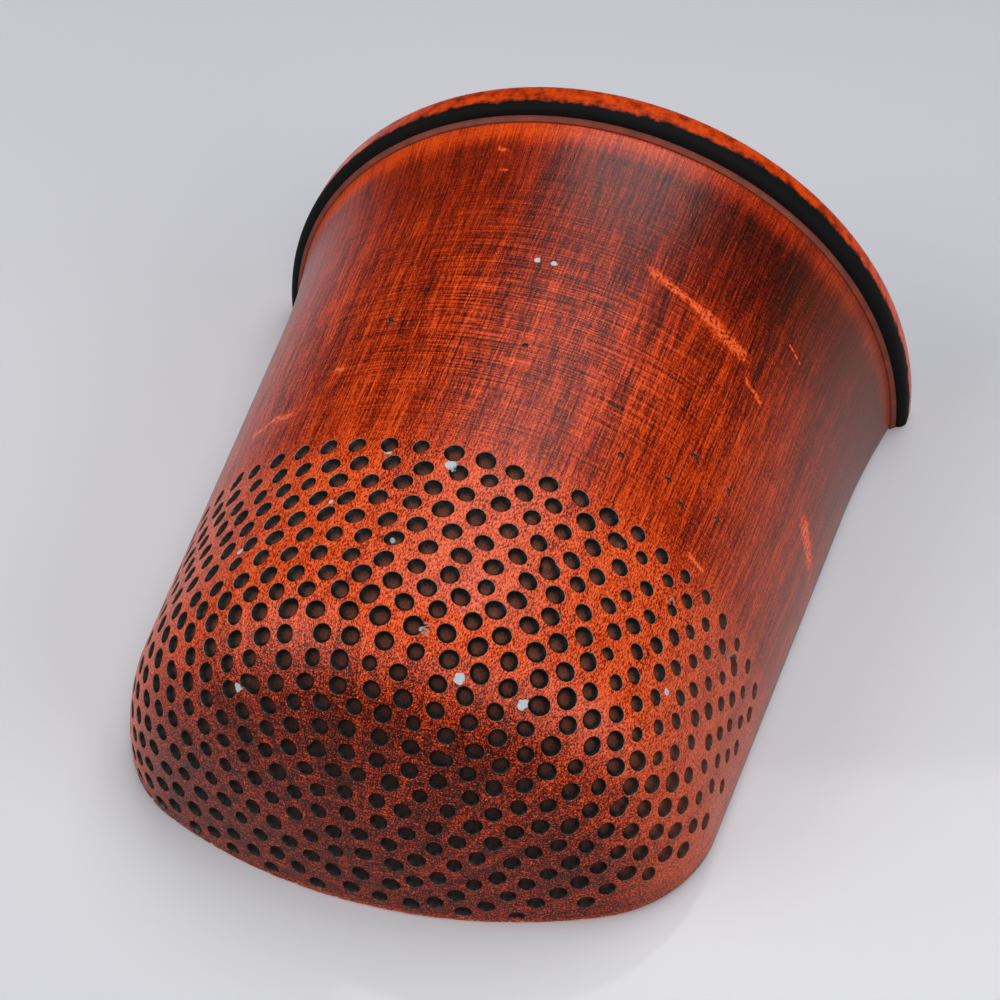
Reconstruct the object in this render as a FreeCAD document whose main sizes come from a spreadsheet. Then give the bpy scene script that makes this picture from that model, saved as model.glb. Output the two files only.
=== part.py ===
import FreeCAD, Part
import math
import os
import Sketcher

# A half-round thimble, made to lie on its flat back.
# Frame: millimetres. The axis of revolution is Y, with the mouth at +Y and the
# closed crown at -Y. The flat back lies in Z = 0, and the origin is under the
# middle of the thimble.

DIMENSIONS = {
    "length": (33.7, "mouth to crown, along Y"),
    "rim_radius": (15.0, "outside of the lip, half of the width"),
    "rim_width": (1.9, "the lip, measured along Y"),
    "rim_stand": (0.65, "how far the lip stands out from the wall"),
    "rim_rounding": (0.6, "rounding of the lip's edge at the mouth"),
    "rim_edge": (0.4, "rounding of the lip's edge towards the crown"),
    "flare_length": (6.5, "the stretch where the wall opens out to the lip"),
    "waist_radius": (13.85, "the taper's radius, carried on to the lip"),
    "shoulder_reach": (27.0, "mouth to the start of the shoulder, along Y"),
    "shoulder_start": (12.22, "the wall's radius where the shoulder starts"),
    "shoulder_radius": (5.66, "rounding between the wall and the crown"),
    "wall": (1.0, "thickness of the pressed sheet"),
    "plate_thickness": (1.0, "thickness of the back plate"),
    "seam_gap": (0.3, "solder between the back plate and the wall"),
    "seam_sink": (0.1, "how far the solder lies above the flat back"),
    "fillet_leg": (0.2, "solder in the corner under the lip"),
}

HALF_TURN = 180.0
CLEAR = 5.0  # how far a cutting shape runs past the piece
ON_RADIUS = 1e-6  # how closely an edge's end has to lie on a radius

doc = FreeCAD.newDocument("thimble")
sheet = doc.addObject("Spreadsheet::Sheet", "Dims")
for row, (alias, (value, meaning)) in enumerate(DIMENSIONS.items(), start=1):
    sheet.set(f"A{row}", alias)
    sheet.set(f"B{row}", str(value))
    sheet.set(f"C{row}", meaning)
    sheet.setAlias(f"B{row}", alias)
doc.recompute()


def dim(alias):
    """The sheet's value, for a sketch's first guess."""
    return float(sheet.get(alias))


def origin_plane(body, role):
    return next(f for f in body.Origin.OriginFeatures if f.Role == role)


def new_body(name):
    body = doc.addObject("PartDesign::Body", name)
    body.Label = name
    body.Placement = FreeCAD.Placement()
    return body


def new_sketch(body, name):
    sketch = body.newObject("Sketcher::SketchObject", name)
    sketch.AttachmentSupport = [(origin_plane(body, "XY_Plane"), "")]
    sketch.MapMode = "FlatFace"
    return sketch


def join(sketch, first, first_end, second, second_end, kind="Coincident"):
    sketch.addConstraint(Sketcher.Constraint(kind, first, first_end, second, second_end))


def bind_point(sketch, name, item, end, point, x_rule, y_rule):
    """Hold one end of an edge at a place that follows the sheet."""
    rules = (("DistanceX", "x", point[0], x_rule), ("DistanceY", "y", point[1], y_rule))
    for kind, letter, value, rule in rules:
        if rule == "0":
            axis = -2 if kind == "DistanceX" else -1
            sketch.addConstraint(Sketcher.Constraint("PointOnObject", item, end, axis))
            continue
        index = sketch.addConstraint(Sketcher.Constraint(kind, -1, 1, item, end, value))
        sketch.renameConstraint(index, f"{name}_{letter}")
        sketch.setExpression(f"Constraints.{name}_{letter}", rule)


def bind_radius(sketch, name, item, value, rule):
    index = sketch.addConstraint(Sketcher.Constraint("Radius", item, value))
    sketch.renameConstraint(index, name)
    sketch.setExpression(f"Constraints.{name}", rule)


def vector(point):
    return FreeCAD.Vector(point[0], point[1], 0)


def line(sketch, start, end):
    return sketch.addGeometry(Part.LineSegment(vector(start), vector(end)))


def arc(sketch, centre, radius, start_angle, end_angle):
    """An arc that runs anticlockwise, so end 1 is at its start angle."""
    circle = Part.Circle(vector(centre), FreeCAD.Vector(0, 0, 1), radius)
    return sketch.addGeometry(Part.ArcOfCircle(circle, start_angle, end_angle))


def angle_to(point, centre):
    return math.atan2(point[1] - centre[1], point[0] - centre[0])


def draw_half_profile(body, name, insets=()):
    """Half of the thimble's lengthwise outline, from the mouth round to the crown.

    The inside is the same outline, moved in by the sheet's thickness, and the
    back plate's edge is moved in by the solder's width as well.
    """
    inset = sum(dim(alias) for alias in insets)
    less = "".join(f" - Dims.{alias}" for alias in insets)
    mouth = dim("length") / 2
    lip = mouth - dim("rim_width")
    seat = dim("rim_radius") - dim("rim_stand") - inset
    taper = (dim("waist_radius") - dim("shoulder_start")) / (dim("shoulder_reach") - dim("rim_width"))
    flare_end = (dim("waist_radius") - inset - taper * dim("flare_length"), lip - dim("flare_length"))
    shoulder = (dim("shoulder_start") - inset, mouth - dim("shoulder_reach"))
    crown = -mouth + inset

    # Centre of the shoulder's arc, square to the wall, and the dome that meets it.
    radius = dim("shoulder_radius") - inset
    tilt = math.atan(taper)
    centre = (shoulder[0] - radius * math.cos(tilt), shoulder[1] + radius * math.sin(tilt))
    drop = centre[1] - crown
    dome = (centre[0] ** 2 + drop ** 2 - radius ** 2) / (2 * (drop - radius))
    dome_centre = (0, crown + dome)
    turn = angle_to(centre, dome_centre)

    # The flare's arc meets the taper smoothly and ends at the lip.
    step = (seat - flare_end[0], lip - flare_end[1])
    flare = (step[0] ** 2 + step[1] ** 2) / (2 * (step[0] * math.cos(tilt) - step[1] * math.sin(tilt)))
    flare_centre = (flare_end[0] + flare * math.cos(tilt), flare_end[1] - flare * math.sin(tilt))

    sketch = new_sketch(body, name)
    straight = line(sketch, (seat, mouth), (seat, lip))
    bend = arc(sketch, flare_centre, flare, angle_to((seat, lip), flare_centre),
               angle_to(flare_end, flare_centre) % (2 * math.pi))
    wall = line(sketch, flare_end, shoulder)
    corner = arc(sketch, centre, radius, turn, -tilt)
    cap = arc(sketch, dome_centre, dome, -math.pi / 2, turn)
    axis = line(sketch, (0, crown), (0, mouth))
    closing = line(sketch, (0, mouth), (seat, mouth))
    join(sketch, straight, 2, bend, 1)
    join(sketch, bend, 2, wall, 1, "Tangent")
    join(sketch, wall, 2, corner, 2, "Tangent")
    join(sketch, corner, 1, cap, 2, "Tangent")
    join(sketch, cap, 1, axis, 1)
    join(sketch, axis, 2, closing, 1)
    join(sketch, closing, 2, straight, 1)
    sketch.addConstraint(Sketcher.Constraint("PointOnObject", cap, 3, -2))
    mouth_rule = "Dims.length / 2"
    lip_rule = "Dims.length / 2 - Dims.rim_width"
    seat_rule = "Dims.rim_radius - Dims.rim_stand" + less
    slope_rule = "(Dims.waist_radius - Dims.shoulder_start) / (Dims.shoulder_reach - Dims.rim_width)"
    bind_point(sketch, "mouth", straight, 1, (seat, mouth), seat_rule, mouth_rule)
    bind_point(sketch, "lip", straight, 2, (seat, lip), seat_rule, lip_rule)
    bind_point(sketch, "flare_end", wall, 1, flare_end,
               f"Dims.waist_radius - Dims.flare_length * {slope_rule}" + less,
               lip_rule + " - Dims.flare_length")
    bind_point(sketch, "shoulder", wall, 2, shoulder,
               "Dims.shoulder_start" + less, "Dims.length / 2 - Dims.shoulder_reach")
    crown_rule = "Dims.length / 2" + less
    crown_index = sketch.addConstraint(Sketcher.Constraint("DistanceY", axis, 1, -1, 1, -crown))
    sketch.renameConstraint(crown_index, "crown_y")
    sketch.setExpression("Constraints.crown_y", crown_rule)
    sketch.addConstraint(Sketcher.Constraint("PointOnObject", axis, 1, -2))
    bind_point(sketch, "axis_top", axis, 2, (0, mouth), "0", mouth_rule)
    bind_radius(sketch, "shoulder_r", corner, radius, "Dims.shoulder_radius" + less)
    return sketch


def draw_polygon(body, name, corners):
    """Straight-sided outline. Each corner is (x, y, rule for x, rule for y)."""
    sketch = new_sketch(body, name)
    count = len(corners)
    sides = [line(sketch, corners[i][:2], corners[(i + 1) % count][:2]) for i in range(count)]
    for i, (x, y, x_rule, y_rule) in enumerate(corners):
        join(sketch, sides[i - 1], 2, sides[i], 1)
        bind_point(sketch, f"corner_{i}", sides[i], 1, (x, y), x_rule, y_rule)
    return sketch


def half_turn(body, name, sketch, kind="PartDesign::Revolution"):
    """Turn a sketch half a turn about the Y axis, on the upper side."""
    feature = body.newObject(kind, name)
    feature.Profile = sketch
    feature.ReferenceAxis = (sketch, ["V_Axis"])
    feature.Angle = HALF_TURN
    feature.Reversed = True
    doc.recompute()
    return feature


def mirror_sideways(body, name, feature):
    """Repeat a half feature on the other side of the YZ plane."""
    mirrored = body.newObject("PartDesign::Mirrored", name)
    mirrored.Originals = [feature]
    mirrored.MirrorPlane = (origin_plane(body, "YZ_Plane"), [""])
    body.Tip = mirrored
    doc.recompute()
    return mirrored


def make_shell():
    """One pressed sheet: tapered half-round wall and domed crown, open at the mouth."""
    body = new_body("shell")
    solid = half_turn(body, "shell_outside", draw_half_profile(body, "outside_profile"))
    solid_volume = solid.Shape.Volume
    hollow = half_turn(body, "shell_hollow", draw_half_profile(body, "inside_profile", ["wall"]),
                       "PartDesign::Groove")
    if hollow.Shape.Volume > 0.5 * solid_volume:
        raise RuntimeError("the shell's hollow was not cut")
    return body


def make_rim_bead():
    """The lip: a half ring of flat strip round the mouth, with its outer edges rounded."""
    body = new_body("rim_bead")
    mouth = dim("length") / 2
    lip = mouth - dim("rim_width")
    outer = dim("rim_radius")
    seat = outer - dim("rim_stand")
    outer_rule = "Dims.rim_radius"
    seat_rule = "Dims.rim_radius - Dims.rim_stand"
    mouth_rule = "Dims.length / 2"
    lip_rule = "Dims.length / 2 - Dims.rim_width"
    strip = draw_polygon(body, "strip_section", [
        (seat, mouth, seat_rule, mouth_rule),
        (seat, lip, seat_rule, lip_rule),
        (outer, lip, outer_rule, lip_rule),
        (outer, mouth, outer_rule, mouth_rule),
    ])
    feature = half_turn(body, "strip", strip)
    feature = round_ring(body, "mouth_rounding", feature, outer, mouth, "rim_rounding")
    round_ring(body, "crown_rounding", feature, outer, lip, "rim_edge")
    return body


def round_ring(body, name, base, radius, place, rounding):
    """Round the half-ring edges of one radius at one place along Y."""
    edges = []
    for number, edge in enumerate(base.Shape.Edges, start=1):
        curve = edge.Curve
        if not isinstance(curve, Part.Circle):
            continue
        if abs(curve.Radius - radius) < ON_RADIUS and abs(curve.Center.y - place) < ON_RADIUS:
            edges.append(f"Edge{number}")
    if not edges:
        raise RuntimeError(f"{name} found no edge")
    fillet = body.newObject("PartDesign::Fillet", name)
    fillet.Base = (base, edges)
    fillet.Radius = dim(rounding)
    fillet.setExpression("Radius", f"Dims.{rounding}")
    doc.recompute()
    return fillet


def make_rim_solder():
    """The thin run of solder in the corner between the lip and the flared wall."""
    body = new_body("rim_solder")
    lip = dim("length") / 2 - dim("rim_width")
    seat = dim("rim_radius") - dim("rim_stand")
    leg = dim("fillet_leg")
    slope = 2 * (seat - dim("waist_radius")) / dim("flare_length")
    lip_rule = "Dims.length / 2 - Dims.rim_width"
    seat_rule = "Dims.rim_radius - Dims.rim_stand"
    slope_rule = "2 * (Dims.rim_radius - Dims.rim_stand - Dims.waist_radius) / Dims.flare_length"
    section = draw_polygon(body, "solder_section", [
        (seat, lip, seat_rule, lip_rule),
        (seat - leg * slope, lip - leg, f"{seat_rule} - Dims.fillet_leg * {slope_rule}",
         f"{lip_rule} - Dims.fillet_leg"),
        (seat + leg, lip, f"{seat_rule} + Dims.fillet_leg", lip_rule),
    ])
    half_turn(body, "solder_run", section)
    return body


def make_back_plate():
    """The flat plate that closes the back between the shell's edges."""
    body = new_body("back_plate")
    pad = body.newObject("PartDesign::Pad", "plate_half")
    pad.Profile = draw_half_profile(body, "plate_outline", ["wall", "seam_gap"])
    pad.setExpression("Length", "Dims.plate_thickness")
    doc.recompute()
    mirror_sideways(body, "plate_other_half", pad)
    return body


def cut_slab(body, name, height_alias, upwards):
    """Remove everything above, or everything below, a height over the flat back."""
    reach = dim("rim_radius") + CLEAR
    end = dim("length") / 2 + CLEAR
    side_rule = f"Dims.rim_radius + {CLEAR}"
    end_rule = f"Dims.length / 2 + {CLEAR}"
    outline = draw_polygon(body, f"{name}_outline", [
        (-reach, -end, f"-({side_rule})", f"-({end_rule})"),
        (reach, -end, side_rule, f"-({end_rule})"),
        (reach, end, side_rule, end_rule),
        (-reach, end, f"-({side_rule})", end_rule),
    ])
    outline.setExpression("AttachmentOffset.Base.z", f"Dims.{height_alias}")
    before = body.Tip.Shape.Volume
    pocket = body.newObject("PartDesign::Pocket", name)
    pocket.Profile = outline
    pocket.Type = "ThroughAll"
    pocket.Reversed = upwards
    doc.recompute()
    if not pocket.Shape.Volume < before:
        raise RuntimeError(f"{name} cut nothing")
    return pocket


def make_back_solder():
    """The solder run between the back plate's edge and the inside of the wall."""
    body = new_body("back_solder")
    half_turn(body, "cavity", draw_half_profile(body, "cavity_profile", ["wall"]))
    cut_slab(body, "above_plate", "plate_thickness", True)
    cut_slab(body, "below_seam", "seam_sink", False)
    before = body.Tip.Shape.Volume
    pocket = body.newObject("PartDesign::Pocket", "plate_space_half")
    pocket.Profile = draw_half_profile(body, "plate_space", ["wall", "seam_gap"])
    pocket.Type = "ThroughAll"
    pocket.Reversed = True
    doc.recompute()
    mirrored = mirror_sideways(body, "plate_space_other_half", pocket)
    if mirrored.Shape.Volume > 0.2 * before:
        raise RuntimeError("the plate's space was not cut out of the solder")
    return body


def check(pieces):
    """Stop on any failed feature, and on a piece with no sound solid."""
    failed = [o.Name for o in doc.Objects if "Invalid" in o.State or "Error" in o.State]
    if failed:
        raise RuntimeError(f"failed: {failed}")
    for piece in pieces:
        shape = piece.Shape
        if shape.isNull() or not shape.isValid() or len(shape.Solids) != 1:
            raise RuntimeError(f"{piece.Label} is not one sound solid")


def main():
    makers = (make_shell, make_rim_bead, make_rim_solder, make_back_plate, make_back_solder)
    pieces = [maker() for maker in makers]
    doc.recompute()
    check(pieces)
    os.makedirs("parts", exist_ok=True)
    for piece in pieces:
        piece.Shape.exportStep(f"parts/{piece.Label}.step")
        print(f"{piece.Label}: {piece.Shape.Volume:.1f} mm3")


main()
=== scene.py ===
"""A half-round thimble on its flat back: dimpled shell, lip, solder runs, back plate, and a pale table."""

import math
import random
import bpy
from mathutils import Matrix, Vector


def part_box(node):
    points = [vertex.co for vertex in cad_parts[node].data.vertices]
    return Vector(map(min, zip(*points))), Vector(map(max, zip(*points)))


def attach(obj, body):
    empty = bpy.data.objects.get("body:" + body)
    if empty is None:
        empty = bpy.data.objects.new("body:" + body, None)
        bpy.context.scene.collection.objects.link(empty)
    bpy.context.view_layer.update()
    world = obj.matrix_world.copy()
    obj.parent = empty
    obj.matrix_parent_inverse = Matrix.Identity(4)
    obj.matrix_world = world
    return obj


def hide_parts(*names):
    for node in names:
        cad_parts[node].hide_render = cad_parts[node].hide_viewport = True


bl_info = {
    "name": "Half-Round Thimble",
    "version": (1, 0, 0),
    "blender": (4, 5, 0),
    "location": "View3D > Sidebar > Thimble",
    "description": "Builds a half-round, flat-backed thimble and a table to show it on",
    "category": "Add Mesh",
}

import bmesh
import bpy
import numpy as np
from bpy.props import FloatProperty, FloatVectorProperty, IntProperty, PointerProperty, StringProperty
from mathutils import Quaternion, Vector
from mathutils.geometry import delaunay_2d_cdt

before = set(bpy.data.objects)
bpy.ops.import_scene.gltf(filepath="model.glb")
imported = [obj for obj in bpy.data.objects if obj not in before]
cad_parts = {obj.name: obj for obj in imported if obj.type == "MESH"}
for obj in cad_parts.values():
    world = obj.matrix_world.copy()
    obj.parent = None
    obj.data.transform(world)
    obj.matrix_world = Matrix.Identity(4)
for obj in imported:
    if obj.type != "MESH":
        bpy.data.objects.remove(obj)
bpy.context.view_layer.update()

MM = 0.001
SHELL_LOW, SHELL_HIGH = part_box("shell")
LIP_LOW, LIP_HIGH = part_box("rim_bead")
RUN_LOW, RUN_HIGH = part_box("rim_solder")
MOUTH_Y = SHELL_HIGH.y
CROWN_Y = SHELL_LOW.y
LIP_Y = LIP_LOW.y
SEAT_RADIUS = SHELL_HIGH.x
# From the lip's height, not half its width: the top of the CAD lip's facets lies a few
# thousandths of a millimetre short of the full radius, and nothing may stand above it.
LIP_RADIUS = LIP_HIGH.z


# ---------------------------------------------------------------- settings


class ThimbleShape(bpy.types.PropertyGroup):
    """Sizes that give the thimble its form"""

    waist_radius: FloatProperty(
        name="Waist radius", description="Radius of the tapered wall, carried on to the lip",
        default=13.85 * MM, unit="LENGTH")
    shoulder_reach: FloatProperty(
        name="Shoulder reach", description="From the mouth to the start of the shoulder",
        default=27.0 * MM, unit="LENGTH")
    shoulder_start: FloatProperty(
        name="Shoulder start", description="Radius of the wall where the shoulder starts",
        default=12.22 * MM, unit="LENGTH")
    shoulder_radius: FloatProperty(
        name="Shoulder radius", description="Rounding between the wall and the crown",
        default=5.66 * MM, unit="LENGTH")
    flare_length: FloatProperty(
        name="Flare length", description="Stretch over which the wall opens out to the lip",
        default=6.5 * MM, unit="LENGTH")
    wall: FloatProperty(
        name="Wall", description="Thickness of the pressed sheet", default=1.0 * MM, unit="LENGTH")
    edge_rounding: FloatProperty(
        name="Edge rounding", description="Filed rounding along the edge that lies on the table",
        default=0.16 * MM, unit="LENGTH")


class ThimbleDimples(bpy.types.PropertyGroup):
    """The hand-set dimples of the crown and the lower wall"""

    top_row: FloatProperty(
        name="Top row", description="Place of the top row, along the surface from the crown's middle",
        default=21.2 * MM, unit="LENGTH")
    row_gap: FloatProperty(
        name="Row gap", description="From one row to the next", default=0.93 * MM, unit="LENGTH")
    pitch: FloatProperty(
        name="Pitch", description="From one dimple to the next in a row",
        default=1.31 * MM, unit="LENGTH")
    radius: FloatProperty(
        name="Radius", description="Radius of a full-sized dimple", default=0.39 * MM, unit="LENGTH")
    depth: FloatProperty(
        name="Depth", description="Depth of a full-sized dimple", default=0.36 * MM, unit="LENGTH")
    seed: IntProperty(name="Seed", description="Seed of the hand-set unevenness", default=7)


class ThimbleColours(bpy.types.PropertyGroup):
    """Finishes, as sRGB hex values"""

    paint: StringProperty(name="Paint", description="Orange-red copper paint", default="#9A280A")
    paint_worn: StringProperty(name="Worn paint", description="Paint rubbed bright", default="#DC4A12")
    paint_thin: StringProperty(name="Thin paint", description="Paint over black", default="#5E1607")
    black: StringProperty(name="Black", description="Base coat under the paint", default="#200B06")
    pit: StringProperty(name="Pit", description="Paint left in the dimples", default="#74402F")
    fleck: StringProperty(name="Fleck", description="Stray flecks of pale paint", default="#B3BEC7")
    table: StringProperty(name="Table", description="Pale table top", default="#D1D2D7")


class ThimbleStage(bpy.types.PropertyGroup):
    """Where the camera stands"""

    azimuth: FloatProperty(
        name="Azimuth", description="Camera's turn about the thimble",
        default=math.radians(19.1), subtype="ANGLE")
    elevation: FloatProperty(
        name="Elevation", description="Camera's height above the table, as an angle",
        default=math.radians(45.0), subtype="ANGLE")
    roll: FloatProperty(
        name="Roll", description="Camera's turn about its own axis",
        default=math.radians(-2.73), subtype="ANGLE")
    distance: FloatProperty(
        name="Distance", description="From the aim point to the camera",
        default=104.7 * MM, unit="LENGTH")
    aim: FloatVectorProperty(
        name="Aim", description="Point that the camera looks at",
        default=(0.13 * MM, 0.96 * MM, 5.0 * MM), subtype="XYZ")
    lens: FloatProperty(name="Lens", description="Focal length in millimetres", default=90.0)


# ---------------------------------------------------------------- the outline


OUTLINE_STEPS = {"dome": 40, "shoulder": 44, "taper": 70, "flare": 26, "seat": 6}


def arc_points(centre, radius, start, end, steps):
    angles = np.linspace(start, end, steps + 1)
    return [(centre[0] + radius * math.cos(a), centre[1] + radius * math.sin(a)) for a in angles]


def line_points(start, end, steps):
    return [(start[0] + (end[0] - start[0]) * i / steps, start[1] + (end[1] - start[1]) * i / steps)
            for i in range(steps + 1)]


def outline(inset=0.0):
    """Radius and Y along the outline, from the crown's middle to the mouth.

    An inset moves the whole line into the metal, point for point.
    """
    shape = bpy.context.scene.thimble_shape
    seat = SEAT_RADIUS - inset
    crown = CROWN_Y + inset
    taper = (shape.waist_radius - shape.shoulder_start) / (LIP_Y - MOUTH_Y + shape.shoulder_reach)
    tilt = math.atan(taper)
    shoulder = (shape.shoulder_start - inset, MOUTH_Y - shape.shoulder_reach)
    flare_end = (shape.waist_radius - inset - taper * shape.flare_length, LIP_Y - shape.flare_length)

    radius = shape.shoulder_radius - inset
    centre = (shoulder[0] - radius * math.cos(tilt), shoulder[1] + radius * math.sin(tilt))
    drop = centre[1] - crown
    dome = (centre[0] ** 2 + drop ** 2 - radius ** 2) / (2 * (drop - radius))
    dome_centre = (0.0, crown + dome)
    turn = math.atan2(centre[1] - dome_centre[1], centre[0])

    rise = (seat - flare_end[0], LIP_Y - flare_end[1])
    flare = (rise[0] ** 2 + rise[1] ** 2) / (2 * (rise[0] * math.cos(tilt) - rise[1] * math.sin(tilt)))
    flare_centre = (flare_end[0] + flare * math.cos(tilt), flare_end[1] - flare * math.sin(tilt))
    flare_start = math.atan2(flare_end[1] - flare_centre[1], flare_end[0] - flare_centre[0])
    flare_stop = math.atan2(LIP_Y - flare_centre[1], seat - flare_centre[0])
    steps = OUTLINE_STEPS
    points = arc_points(dome_centre, dome, -math.pi / 2, turn, steps["dome"])
    points += arc_points(centre, radius, turn, -tilt, steps["shoulder"])[1:]
    points += line_points(shoulder, flare_end, steps["taper"])[1:]
    points += arc_points(flare_centre, flare, flare_start % math.tau, flare_stop % math.tau,
                         steps["flare"])[1:]
    points += line_points((seat, LIP_Y), (seat, MOUTH_Y), steps["seat"])[1:]
    return np.array(points)


class Skin:
    """The outline turned through half a circle, and a flat map of it.

    On the map a point lies at the turn's angle, at a radius that grows so that
    small shapes keep their form. The crown's middle is at the map's origin.
    """

    def __init__(self, inset=0.0):
        outer = outline()
        self.line = outline(inset)
        steps = np.hypot(*np.diff(outer, axis=0).T)
        self.along = np.concatenate([[0.0], np.cumsum(steps)])
        growth = 0.5 * (1 / outer[1:-1, 0] + 1 / outer[2:, 0]) * steps[1:]
        logs = math.log(self.along[1]) + np.concatenate([[0.0], np.cumsum(growth)])
        self.map_radius = np.concatenate([[0.0], np.exp(logs)])
        slope = np.gradient(self.line, axis=0)
        slope /= np.hypot(*slope.T)[:, None]
        self.normal = np.column_stack([slope[:, 1], -slope[:, 0]])
        self.normal[0] = (0.0, -1.0)

    def to_map(self, along, angle):
        radius = np.interp(along, self.along, self.map_radius)
        return np.column_stack([radius * np.cos(angle), radius * np.sin(angle)])

    def map_point(self, along, angle):
        return self.to_map(np.array([along]), np.array([angle]))[0]

    def from_map(self, points):
        radius = np.hypot(points[:, 0], points[:, 1])
        along = np.interp(radius, self.map_radius, self.along)
        return along, np.arctan2(points[:, 1], points[:, 0])

    def radius_at(self, along):
        return np.interp(along, self.along, self.line[:, 0])

    def height_at(self, along, angle):
        """Height over the table."""
        return self.radius_at(along) * np.sin(angle)

    def scale_at(self, along):
        """Map length of one unit of surface length."""
        along = np.maximum(along, self.along[1])
        return np.interp(along, self.along, self.map_radius) / self.radius_at(along)

    def place(self, along, angle, sunk=0.0):
        """Points in space, each moved into the metal by its own depth."""
        radius = self.radius_at(along) - sunk * np.interp(along, self.along, self.normal[:, 0])
        y = (np.interp(along, self.along, self.line[:, 1])
             - sunk * np.interp(along, self.along, self.normal[:, 1]))
        return np.column_stack([radius * np.cos(angle), y, radius * np.sin(angle)])


# ---------------------------------------------------------------- dimples


# A dimple's section: distance from its middle, as a part of its radius, against
# depth as a part of its depth; and how many points go round it there.
PIT_SECTION = ((0.0, 1.0, 1), (0.45, 0.87, 7), (0.82, 0.5, 12), (0.95, 0.16, 12), (1.04, 0.0, 12))

# How the dimples change on the way from the crown's middle, at 0, to the shoulder's top, at 1:
# places on the way, then the share of the full row gap, pitch or size at each.
ROW_GAPS = ((0.55, 0.7, 0.95, 1.02), (1.03, 0.9, 0.9, 1.0))
PITCHES = ((0.55, 0.95), (0.9, 1.0))
SIZES = ((0.6, 0.9), (0.88, 1.0))
# Places on the same way, then millimetres over the table that stay bare on the side towards +X
RIGHT_MARGIN = ((0.3, 0.8, 1.0, 1.3), (0.1, 1.6, 2.1, 1.3))
LEFT_MARGIN = -0.1 * MM

# Unevenness in millimetres: round the row, along the wall, and the slow wave of a row
UNEVEN_ROUND, UNEVEN_ALONG, ROW_WAVE = 0.055, 0.045, 0.07
UNEVEN_SIZE = 0.05
# Low on the right of the wall the dimples are struck more lightly
LIGHT_ANGLE, LIGHT_FROM, LIGHT_SIZES = math.radians(52), 0.9, (0.7, 0.92)
# One dimple in so many has a smaller twin struck half over it
TWIN_EVERY, TWIN_REACH, TWIN_SIZE = 40, 0.8, 0.75
# Middles of neighbours are pushed apart to this many radii, by part of the lack, so many times
SPREAD_RADII, SPREAD_SHARE, SPREAD_PASSES = 2.55, 0.4, 12


def lay_out_dimples(skin):
    """Hand-set rings of dimples: (along, angle, radius, depth, stretch, lean) of each one."""
    dimples = bpy.context.scene.thimble_dimples
    draw = random.Random(dimples.seed)
    rows = []
    along = dimples.top_row
    shoulder_top = float(np.interp(MOUTH_Y - bpy.context.scene.thimble_shape.shoulder_reach,
                                   skin.line[:, 1], skin.along))
    while along > 0.5 * dimples.row_gap:
        rows.append(along)
        along -= dimples.row_gap * np.interp(along / shoulder_top, *ROW_GAPS)
    placed = []
    for number, along in enumerate(rows):
        radius = float(skin.radius_at(along))
        closeness = np.interp(along, [part * shoulder_top for part in PITCHES[0]], PITCHES[1])
        count = max(2, round(math.pi * radius / (dimples.pitch * closeness)))
        wave = draw.uniform(0, math.tau)
        offset = 0.5 * (number % 2) + draw.uniform(-0.08, 0.08)
        for i in range(count + 1):
            angle = math.pi * (i + offset) / count
            angle += draw.gauss(0, UNEVEN_ROUND) * MM / radius
            place = along + draw.gauss(0, UNEVEN_ALONG) * MM + ROW_WAVE * MM * math.sin(3 * angle + wave)
            height = radius * math.sin(angle)
            bare = right_margin(place, shoulder_top) if angle < math.pi / 2 else LEFT_MARGIN
            size = draw.gauss(1.0, UNEVEN_SIZE) * np.interp(place / shoulder_top, *SIZES)
            if angle < LIGHT_ANGLE and place > LIGHT_FROM * shoulder_top:
                size *= draw.uniform(*LIGHT_SIZES)
            stretch = draw.uniform(0.93, 1.08)
            lean = draw.uniform(0, math.pi)
            depth = draw.uniform(0.85, 1.1)
            if height < bare or angle < 0 or angle > math.pi + 0.02:
                continue
            placed.append((place, angle, dimples.radius * size, dimples.depth * size * depth,
                           stretch, lean))
    placed = spread(skin, placed, SPREAD_RADII * dimples.radius)
    twins = []
    for place, angle, radius, depth, _, _ in draw.sample(placed, len(placed) // TWIN_EVERY):
        turn = draw.uniform(0, math.tau)
        reach = TWIN_REACH * radius
        twins.append((place + reach * math.cos(turn),
                      angle + reach * math.sin(turn) / float(skin.radius_at(place)),
                      TWIN_SIZE * radius, TWIN_SIZE * depth, 1.0, 0.0))
    return placed + twins


def spread(skin, dimples, gap):
    """Push apart the dimples that lie nearer to each other than the gap."""
    along = np.array([dimple[0] for dimple in dimples])
    angle = np.array([dimple[1] for dimple in dimples])
    for _ in range(SPREAD_PASSES):
        radius = skin.radius_at(along)
        down = along[:, None] - along[None, :]
        over = (angle[:, None] - angle[None, :]) * 0.5 * (radius[:, None] + radius[None, :])
        apart = np.hypot(down, over) + np.eye(len(along))
        push = np.clip(gap - apart, 0, None) / apart * SPREAD_SHARE
        np.fill_diagonal(push, 0)
        along = along + (push * down).sum(axis=1)
        angle = angle + (push * over).sum(axis=1) / radius
    return [(float(a), float(t), *dimple[2:]) for a, t, dimple in zip(along, angle, dimples)]


def right_margin(along, shoulder_top):
    """Height over the table that stays bare of dimples on the side towards +X."""
    places, heights = RIGHT_MARGIN
    return float(np.interp(along, [part * shoulder_top for part in places], [h * MM for h in heights]))


def dimple_points(skin, dimples):
    """Rings of map points round every dimple."""
    points = []
    for along, angle, radius, _, stretch, lean in dimples:
        middle = skin.map_point(along, angle)
        scale = float(skin.scale_at(along)) * radius
        for distance, _, count in PIT_SECTION:
            for i in range(count):
                turn = math.tau * i / count
                a = distance * stretch * math.cos(turn)
                b = distance / stretch * math.sin(turn)
                points.append((middle[0] + scale * (a * math.cos(lean) - b * math.sin(lean)),
                               middle[1] + scale * (a * math.sin(lean) + b * math.cos(lean))))
    return np.array(points)


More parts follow.
